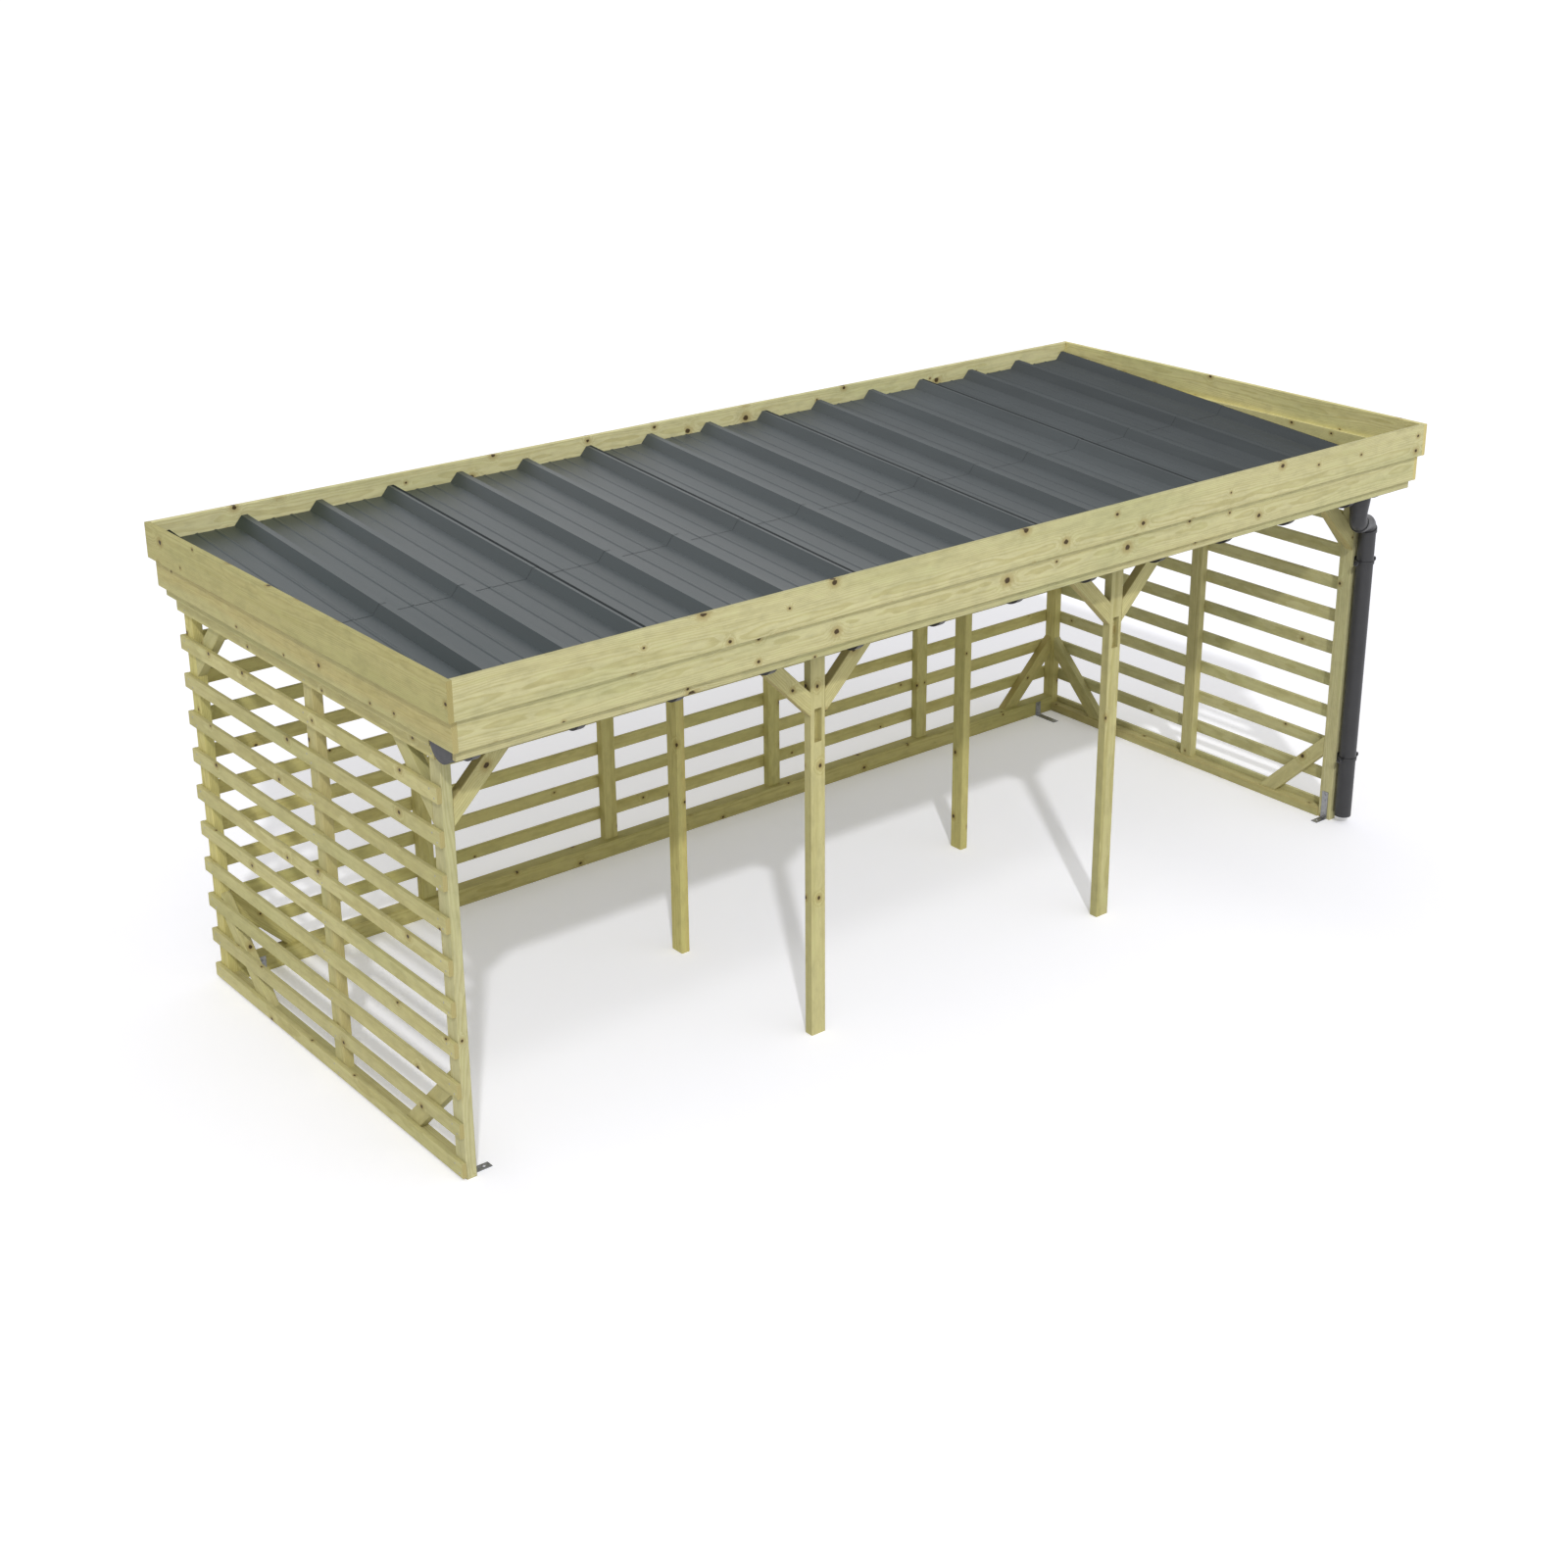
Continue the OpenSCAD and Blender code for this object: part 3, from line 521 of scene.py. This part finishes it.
class SHELTER_OT_braces(bpy.types.Operator):
    """Braces, with the grain along each one and sawn ends on the timbers"""

    bl_idname = "shelter.braces"
    bl_label = "Braces"

    def execute(self, context):
        wood = context.scene.shelter_timber
        # The tones paint shade into the wood: the front and side braces under the eaves, and, more
        # saturated, the back braces
        low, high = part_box("front_posts")
        step = high.x - low.x - POST
        timber_finish("braces_front", X + Z, X - Z, pitch=(step / 2, 0, 0),
                      first=(low.x + step / 4, 0, 0),
                      fold=((low.x + POST / 2, step / 2), None, None), tone=wood.eaves_painted_shade)
        for node in ("braces_left", "braces_right"):
            low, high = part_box(node)
            half = (high - low) / 2
            centre = middle(node)
            timber_finish(node, Z - Y, Y + Z, pitch=(0, half.y, half.z),
                          first=(0, low.y + half.y / 2, low.z + half.z / 2),
                          fold=(None, (centre.y, FAR), (centre.z, FAR)), tone=wood.eaves_painted_shade)
        low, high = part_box("braces_back")
        timber_finish("braces_back", X + Z, X - Z, pitch=(high.x, 0, 0),
                      first=(high.x / 2, 0, 0), fold=((0, FAR), None, None), tone=wood.inside)
        return {"FINISHED"}


class SHELTER_OT_slats(bpy.types.Operator):
    """Wall slats, each from its own board"""

    bl_idname = "shelter.slats"
    bl_label = "Wall slats"

    def execute(self, context):
        wood = context.scene.shelter_timber
        # The tones paint light and shade into the wood: painted shade on the left wall and, more
        # saturated, on the back wall; the right wall's slats are lighter, with painted light
        for node, grain, tone in (
            ("slats_left", Y, wood.eaves_painted_shade),
            ("slats_right", Y, wood.slats_right),
            ("slats_back", X, wood.inside),
        ):
            low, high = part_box(node)
            pitch = (high.z - low.z - SLAT) / (SLAT_ROWS - 1)
            timber_finish(node, grain, Z, pitch=(0, 0, pitch), first=(0, 0, low.z + SLAT / 2),
                          knots=0.4, tone=tone)
        return {"FINISHED"}


class SHELTER_OT_parapet(bpy.types.Operator):
    """Parapet boards of the four sides"""

    bl_idname = "shelter.parapet"
    bl_label = "Parapet boards"

    def execute(self, context):
        wood = context.scene.shelter_timber
        # The tones paint light and shade into the wood: painted shade on the end boards and,
        # stronger, on the left end's top board; painted light on the back boards and, over the
        # ends' painted shade, on the right end's boards
        ends = Vector(wood.eaves_painted_shade)
        sides = (
            ("fascia_front", X, Vector((1, 1, 1))),
            ("fascia_back", X, wood.back_edge_painted_light * Vector((1, 1, 1))),
            ("fascia_right", Y, wood.right_end_painted_light * ends),
            ("fascia_left", Y, ends),
        )
        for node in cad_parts:
            for side, grain, tone in sides:
                if node.startswith(side):
                    if node == "fascia_left_top":
                        tone = wood.left_top_painted_shade
                    timber_finish(node, grain, Z, knots=0.62, tone=tone)
        return {"FINISHED"}


# ---------------------------------------------------------------- metal


class SHELTER_OT_roof(bpy.types.Operator):
    """Coated steel roof sheet with a backing coat below"""

    bl_idname = "shelter.roof"
    bl_label = "Roof sheet"

    def execute(self, context):
        metal = context.scene.shelter_metal
        material, tree, shader = new_material("coated_roof_sheet")
        place = object_point(tree)
        where = axes(tree, place)
        count_from = -2.45
        point = add_node(
            tree, "ShaderNodeMapping", {"Vector": place, "Location": (-count_from, 0, 0)}
        ).outputs[0]
        grit = noise(tree, point, 900.0, 2.0, 0.7)
        dust = noise(tree, points(tree, "MULTIPLY", point, (16.0, 1.1, 16.0)), 1.0, 4.0, 0.6)
        cloud = noise(tree, point, 2.2, 3.0, 0.55)
        wave = noise(tree, points(tree, "MULTIPLY", point, (5.0, 1.6, 5.0)), 1.0, 1.0)

        # Each sheet has its own tone at random, and painted shadow draws a dark line where the next
        # sheet laps over it: at each side lap and, fainter, at the end lap
        panel = sums(tree, "DIVIDE", axes(tree, point)[0], metal.sheet_run)
        panel = add_node(
            tree, "ShaderNodeTexWhiteNoise", {"W": sums(tree, "FLOOR", panel)},
            noise_dimensions="1D",
        ).outputs[0]
        lap_centre, lap_half, end_half = 0.0065, 0.0075, 0.0022
        across = sums(tree, "SUBTRACT", where[0], metal.first_lap)
        across = sums(tree, "WRAP", across, metal.sheet_run / 2, -metal.sheet_run / 2)
        end_y = middle("beam_middle").y - metal.end_lap
        end_lap = sums(tree, "COMPARE", where[1], end_y, end_half)
        side_lap_shadow = sums(tree, "COMPARE", across, lap_centre, lap_half)
        lap = sums(tree, "MAXIMUM", product(tree, end_lap, 0.4), side_lap_shadow)

        # Towards the right end the coat turns paler and loses its gloss: partly dust, partly
        # painted light that evens the flats and the rib flanks there. From 1.6 m to 2.1 m along X
        # painted shade also darkens the sheet, and it stays darker to its end
        dust_and_light_start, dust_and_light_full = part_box("roof_sheet")[0].x + 0.3, 1.6
        painted_shade_start, painted_shade_full = 1.6, 2.1
        dust_and_painted_light = fade(tree, where[0], dust_and_light_start, dust_and_light_full, kind="LINEAR")
        tone = product(
            tree,
            spread(tree, grit, 0.90, 1.12),
            fade(tree, dust, 0.35, 0.7, 0.95, 1.10, "LINEAR"),
            spread(tree, cloud, 0.95, 1.05),
            between(tree, panel, 0.97, 1.03),
            # painted shadow along the laps
            between(tree, lap, 1.0, 0.35),
            # painted shade over the right end
            fade(tree, where[0], painted_shade_start, painted_shade_full, 1.0, 0.84, "LINEAR"),
        )
        below = sums(tree, "LESS_THAN", axes(tree, bare_normal(tree))[2], -0.05)
        coat = blend_colours(tree, dust_and_painted_light, metal.roof, metal.roof_dust_and_painted_light)
        coat = blend_colours(tree, below, coat, metal.roof_back)
        tree.links.new(toned(tree, coat, tone), shader.inputs["Base Color"])
        gloss = metal.roof_gloss
        rough = fade(tree, dust, 0.3, 0.75, gloss - 0.04, gloss + 0.10, "LINEAR")
        rough = sums(tree, "MULTIPLY_ADD", product(tree, dust_and_painted_light, dust_and_painted_light), 0.5, rough)
        tree.links.new(sums(tree, "MAXIMUM", rough, lap), shader.inputs["Roughness"])
        clean = fade(tree, dust_and_painted_light, 0.4, 1.0, 1.0, 0.0, "LINEAR")
        tree.links.new(product(tree, between(tree, lap, 1.0, 0.2), clean),
                       shader.inputs["Coat Weight"])
        shader.inputs["Specular IOR Level"].default_value = 0.13
        shader.inputs["Coat IOR"].default_value = 1.45
        shader.inputs["Coat Roughness"].default_value = gloss
        add_relief(tree, shader, (wave, 0.004, 0.5), (grit, 0.00025, 0.6))
        dress("roof_sheet", material)
        return {"FINISHED"}


class SHELTER_OT_gutter(bpy.types.Operator):
    """Satin coat of the gutter, its brackets, the swan neck, the downpipe and the clamps"""

    bl_idname = "shelter.gutter"
    bl_label = "Gutter and downpipe"

    def execute(self, context):
        metal = context.scene.shelter_metal
        gloss = metal.gutter_gloss
        for node, lengthwise in (
            ("gutter", X), ("gutter_spout", X), ("gutter_brackets", X), ("outlet_elbow", Z),
            ("neck_pipe", X), ("lower_elbow", Z), ("downpipe", Z), ("pipe_clamps", Z),
        ):
            material, tree, shader = new_material("satin_" + node)
            point = add_node(
                tree, "ShaderNodeMapping",
                {"Vector": object_point(tree), "Location": tuple(-middle(node))},
            ).outputs[0]
            # The rolled and drawn steel shows marks twenty times as long as they are wide
            drawn = points(tree, "MULTIPLY", point, Vector((30, 30, 30)) - 28.5 * lengthwise)
            run = noise(tree, drawn, 1.0, 3.0, 0.6)
            speck = noise(tree, point, 650.0, 2.0, 0.7)
            film = noise(tree, point, 9.0, 3.0, 0.6)
            tone = product(tree, spread(tree, speck, 0.9, 1.12), spread(tree, film, 0.90, 1.14))
            tree.links.new(toned(tree, metal.gutter, tone), shader.inputs["Base Color"])
            rough = spread(tree, run, gloss - 0.06, gloss + 0.10)
            tree.links.new(rough, shader.inputs["Roughness"])
            add_relief(tree, shader, (run, 0.0004, 0.5), (speck, 0.0001, 0.4))
            dress(node, material)
        return {"FINISHED"}


def galvanised(name):
    """Dull zinc with its spangle."""
    metal = bpy.context.scene.shelter_metal
    material, tree, shader = new_material(name)
    place = object_point(tree)
    spangle = add_node(tree, "ShaderNodeTexVoronoi", {"Vector": place, "Scale": 140.0})
    flake = add_node(tree, "ShaderNodeSeparateColor", {0: spangle.outputs["Color"]}).outputs
    film = noise(tree, place, 60.0, 3.0, 0.6)
    tone = product(tree, between(tree, flake[0], 0.86, 1.10), spread(tree, film, 0.90, 1.05))
    tree.links.new(toned(tree, metal.zinc, tone), shader.inputs["Base Color"])
    rough = sums(tree, "ADD", between(tree, flake[1], 0.30, 0.42), product(tree, film, 0.12))
    tree.links.new(rough, shader.inputs["Roughness"])
    add_relief(tree, shader, (film, 0.0002, 0.5))
    shader.inputs["Metallic"].default_value = 0.9
    return material


class SHELTER_OT_anchors(bpy.types.Operator):
    """Galvanised angle brackets at the feet of the frame"""

    bl_idname = "shelter.anchors"
    bl_label = "Anchor brackets"

    def execute(self, context):
        dress("anchor_brackets", galvanised("galvanised_brackets"))
        return {"FINISHED"}


# ---------------------------------------------------------------- fixings


def facing(axis, at, roll=0.0):
    """A matrix that puts +Z along axis at a point."""
    turn = axis.to_track_quat("Z", "Y").to_matrix().to_4x4()
    return Matrix.Translation(at) @ turn @ Matrix.Rotation(roll, 4, "Z")


def cylinder(bm, at, axis, sides, foot, top, depth, roll=0.0):
    """A capped round or sided body; returns its face that looks along the axis."""
    made = bmesh.ops.create_cone(
        bm, cap_ends=True, segments=sides, radius1=foot, radius2=top, depth=depth,
        matrix=facing(axis, at, roll),
    )
    faces = {face for vert in made["verts"] for face in vert.link_faces}
    return max(faces, key=lambda face: face.calc_center_median().dot(axis))


def timber_screw(bm, at, axis, roll, head, proud):
    """A countersunk head: a low cone with a star recess for the bit."""
    rim, recess, depth, notch = 0.44 * head, 0.24 * head, 1.4 * proud, 0.45
    top = cylinder(bm, at, axis, 12, head / 2, rim, 2 * proud, roll)
    bmesh.ops.inset_region(bm, faces=[top], thickness=recess)
    bmesh.ops.translate(bm, verts=top.verts, vec=-depth * axis)
    for k, vert in enumerate(top.verts):
        if k % 2:
            vert.co += notch * (top.calc_center_median() - vert.co)


def hex_bolt(bm, at, axis, width, height):
    """A hexagon head with a slight dish; half of its body is inside the steel below."""
    top = cylinder(bm, at, axis, 6, width / 2, width / 2, 2 * height)
    bmesh.ops.inset_region(bm, faces=[top], thickness=width * 0.06, depth=height * 0.18)


def as_piece(bm, name, material):
    """Turns a bmesh into a piece of the shelter."""
    bmesh.ops.recalc_face_normals(bm, faces=bm.faces)
    mesh = bpy.data.meshes.new(name)
    bm.to_mesh(mesh)
    bm.free()
    mesh.materials.append(material)
    piece = bpy.data.objects.new(name, mesh)
    bpy.context.scene.collection.objects.link(piece)
    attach(piece, "root")
    return piece


class SHELTER_OT_slat_screws(bpy.types.Operator):
    """Two countersunk screws wherever a slat crosses a post or a stud"""

    bl_idname = "shelter.slat_screws"
    bl_label = "Slat screws"

    def execute(self, context):
        fixing = context.scene.shelter_fixings
        low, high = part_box("slats_back")
        pitch = (high.z - low.z - SLAT) / (SLAT_ROWS - 1)
        material = galvanised("screw_heads")
        side_columns = [middle("corner_post_front_left").y, middle("side_studs").y,
                        middle("corner_post_back_left").y]
        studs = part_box("back_studs")
        first, last = studs[0].x + POST / 2, studs[1].x - POST / 2
        back_columns = [middle("corner_post_back_left").x]
        back_columns += [first + i * (last - first) / 3 for i in range(4)]
        back_columns.append(middle("corner_post_back_right").x)
        for name, columns, face, axis, along in (
            ("slat_screws_left", side_columns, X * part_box("slats_left")[0].x, -X, Y),
            ("slat_screws_right", side_columns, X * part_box("slats_right")[1].x, X, Y),
            ("slat_screws_back", back_columns, Y * high.y, Y, X),
        ):
            bm = bmesh.new()
            for k, column in enumerate(columns):
                for i in range(SLAT_ROWS):
                    row = low.z + SLAT / 2 + i * pitch
                    for side in (-0.5, 0.5):
                        # The two screws of a crossing stand on a diagonal
                        offset = side * fixing.pair
                        at = face + along * (column + offset) + Z * (row + offset * 0.9)
                        roll = 0.7 * (i + 3 * k) + side
                        timber_screw(bm, at, axis, roll, fixing.head, fixing.proud)
            as_piece(bm, name, material)
        return {"FINISHED"}


class SHELTER_OT_bracket_screws(bpy.types.Operator):
    """Washer-head screws that hold the anchor brackets to the timber"""

    bl_idname = "shelter.bracket_screws"
    bl_label = "Bracket screws"

    def execute(self, context):
        fixing = context.scene.shelter_fixings
        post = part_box("corner_post_front_left")
        inner = abs(post[1].x)
        front_y = post[0].y + POST / 2
        back_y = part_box("rail_back")[0].y - BRACKET_STEEL
        bm = bmesh.new()
        for side in (-1, 1):
            for top, x, y, axis in (
                (FRONT_BRACKET_TOP, inner - BRACKET_STEEL, front_y, -side * X),
                (BACK_BRACKET_TOP, inner - BACK_BRACKET_IN, back_y, -Y),
            ):
                for down in (0.5, 1.3):
                    at = Vector((side * x, y, top - down * BRACKET_WIDTH))
                    cylinder(bm, at, axis, 20, fixing.washer / 2, fixing.washer / 2,
                             fixing.washer_rise)
                    hex_bolt(bm, at, axis, fixing.bracket_head, fixing.bracket_rise)
        as_piece(bm, "bracket_screws", galvanised("bracket_screw_heads"))
        return {"FINISHED"}


class SHELTER_OT_clamp_bolts(bpy.types.Operator):
    """Bolt heads in the ears of the downpipe's clamps"""

    bl_idname = "shelter.clamp_bolts"
    bl_label = "Clamp bolts"

    def execute(self, context):
        fixing = context.scene.shelter_fixings
        pipe = middle("downpipe")
        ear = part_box("downpipe")[1].x - pipe.x + CLAMP_EAR
        bm = bmesh.new()
        for height in CLAMP_HEIGHTS:
            for side in (-1, 1):
                at = Vector((pipe.x + side * ear, pipe.y - CLAMP_FACE, height))
                hex_bolt(bm, at, -Y, fixing.bolt, fixing.bolt_rise)
        material, tree, shader = new_material("dark_bolt_heads")
        film = noise(tree, object_point(tree), 220.0, 2.0)
        colour = blend_colours(tree, film, (0.03, 0.03, 0.032), (0.06, 0.06, 0.064))
        tree.links.new(colour, shader.inputs["Base Color"])
        tree.links.new(fade(tree, film, 0.3, 0.7, 0.34, 0.48), shader.inputs["Roughness"])
        shader.inputs["Metallic"].default_value = 0.5
        as_piece(bm, "clamp_bolts", material)
        return {"FINISHED"}


# ---------------------------------------------------------------- stage


class SHELTER_OT_stage(bpy.types.Operator):
    """Pale floor, soft light and camera"""

    bl_idname = "shelter.stage"
    bl_label = "Stage"

    def execute(self, context):
        scene = context.scene
        stage = scene.shelter_stage
        scene.view_settings.view_transform = "Standard"

        # Floor: a plain diffuse ground that shows a little light of its own to the camera
        bm = bmesh.new()
        bmesh.ops.create_grid(bm, x_segments=1, y_segments=1, size=60)
        mesh = bpy.data.meshes.new("floor")
        bm.to_mesh(mesh)
        bm.free()
        floor = bpy.data.objects.new("floor", mesh)
        scene.collection.objects.link(floor)
        material = bpy.data.materials.new("pale_floor")
        mesh.materials.append(material)
        tree = empty_tree(material)
        seen = seen_directly(tree)
        ground, shown = (
            add_node(tree, "ShaderNodeBsdfDiffuse", {"Color": colour}).outputs[0]
            for colour in (
                (stage.floor, stage.floor, stage.floor, 1),
                (stage.shown, stage.shown, 1.06 * stage.shown, 1),
            )
        )
        # A painted pool of light that the floor shows by itself before the open front, from the
        # left end to past the middle
        where = axes(tree, object_point(tree))
        pool = product(
            tree,
            fade(tree, where[0], -2.6, -2.1),
            fade(tree, where[0], 1.8, 0.9),
            fade(tree, where[1], -0.10, -0.45),
        )
        lift = sums(tree, "MULTIPLY_ADD", pool, stage.pool, stage.lift)
        glow = add_node(tree, "ShaderNodeEmission", {"Color": WHITE, "Strength": lift}).outputs[0]
        shown = add_node(tree, "ShaderNodeAddShader", {0: shown, 1: glow}).outputs[0]
        both = add_node(tree, "ShaderNodeMixShader", {0: seen, 1: ground, 2: shown}).outputs[0]
        add_node(tree, "ShaderNodeOutputMaterial", {"Surface": both})

        # Sky: even white light, pure white where it is seen or reflected
        scene.world = bpy.data.worlds.new("soft_sky")
        tree = empty_tree(scene.world)
        seen = seen_directly(tree)
        light, white = (
            add_node(tree, "ShaderNodeBackground", {"Color": WHITE, "Strength": level}).outputs[0]
            for level in (stage.sky, 1.0)
        )
        both = add_node(tree, "ShaderNodeMixShader", {0: seen, 1: light, 2: white}).outputs[0]
        add_node(tree, "ShaderNodeOutputWorld", {"Surface": both})

        # The key light casts the shadows, and a wide light fills them from the front
        for name, strength, direction, width in (
            ("key_light", stage.key, Vector((0.406, 0.625, -0.667)), 2.0),
            ("fill_light", stage.fill, Vector((-0.10, 0.80, -0.59)), 75.0),
        ):
            lamp = bpy.data.lights.new(name, "SUN")
            lamp.energy = strength
            lamp.angle = math.radians(width)
            sun = bpy.data.objects.new(name, lamp)
            sun.rotation_euler = direction.to_track_quat("-Z", "Y").to_euler()
            scene.collection.objects.link(sun)

        # Camera: in front of the left end, well above the roof's edge
        stand = Vector((-5.8444, -6.9833, 4.5268))
        yaw, pitch, roll = (math.radians(angle) for angle in (-39.345, -20.697, -0.18))
        level = math.cos(pitch)
        ahead = Vector((-math.sin(yaw) * level, math.cos(yaw) * level, math.sin(pitch)))
        right = Vector((math.cos(yaw), math.sin(yaw), 0))
        up = right.cross(ahead)
        right, up = (math.cos(roll) * right + math.sin(roll) * up,
                     math.cos(roll) * up - math.sin(roll) * right)
        data = bpy.data.cameras.new("camera")
        data.sensor_fit = "AUTO"
        data.sensor_width = 36
        data.lens = 51.4125
        data.shift_x = -0.0173
        data.shift_y = -0.0703
        data.clip_end = 300
        camera = bpy.data.objects.new("camera", data)
        turn = Matrix((right, up, -ahead)).transposed().to_4x4()
        camera.matrix_world = Matrix.Translation(stand) @ turn
        scene.collection.objects.link(camera)
        scene.camera = camera
        return {"FINISHED"}


# ---------------------------------------------------------------- panel


STEPS = (
    SHELTER_OT_posts,
    SHELTER_OT_beams,
    SHELTER_OT_braces,
    SHELTER_OT_slats,
    SHELTER_OT_parapet,
    SHELTER_OT_roof,
    SHELTER_OT_gutter,
    SHELTER_OT_anchors,
    SHELTER_OT_slat_screws,
    SHELTER_OT_bracket_screws,
    SHELTER_OT_clamp_bolts,
    SHELTER_OT_stage,
)

SETTINGS = (
    ("shelter_timber", ShelterTimber),
    ("shelter_metal", ShelterMetal),
    ("shelter_fixings", ShelterFixings),
    ("shelter_stage", ShelterStage),
)


class SHELTER_PT_panel(bpy.types.Panel):
    """Lists the shelter's settings and steps"""

    bl_label = "Firewood shelter"
    bl_idname = "SHELTER_PT_panel"
    bl_space_type = "VIEW_3D"
    bl_region_type = "UI"
    bl_category = "Shelter"

    def draw(self, context):
        for name, group in SETTINGS:
            box = self.layout.box()
            settings = getattr(context.scene, name)
            for prop in group.__annotations__:
                box.prop(settings, prop)
        for step in STEPS:
            self.layout.operator(step.bl_idname)


def register():
    for name, group in SETTINGS:
        bpy.utils.register_class(group)
        setattr(bpy.types.Scene, name, bpy.props.PointerProperty(type=group))
    for step in STEPS:
        bpy.utils.register_class(step)
    bpy.utils.register_class(SHELTER_PT_panel)


def unregister():
    bpy.utils.unregister_class(SHELTER_PT_panel)
    for step in reversed(STEPS):
        bpy.utils.unregister_class(step)
    for name, group in reversed(SETTINGS):
        delattr(bpy.types.Scene, name)
        bpy.utils.unregister_class(group)


def main():
    register()
    for step in STEPS:
        area, name = step.bl_idname.split(".")
        getattr(getattr(bpy.ops, area), name)()


if __name__ == "__main__":
    main()
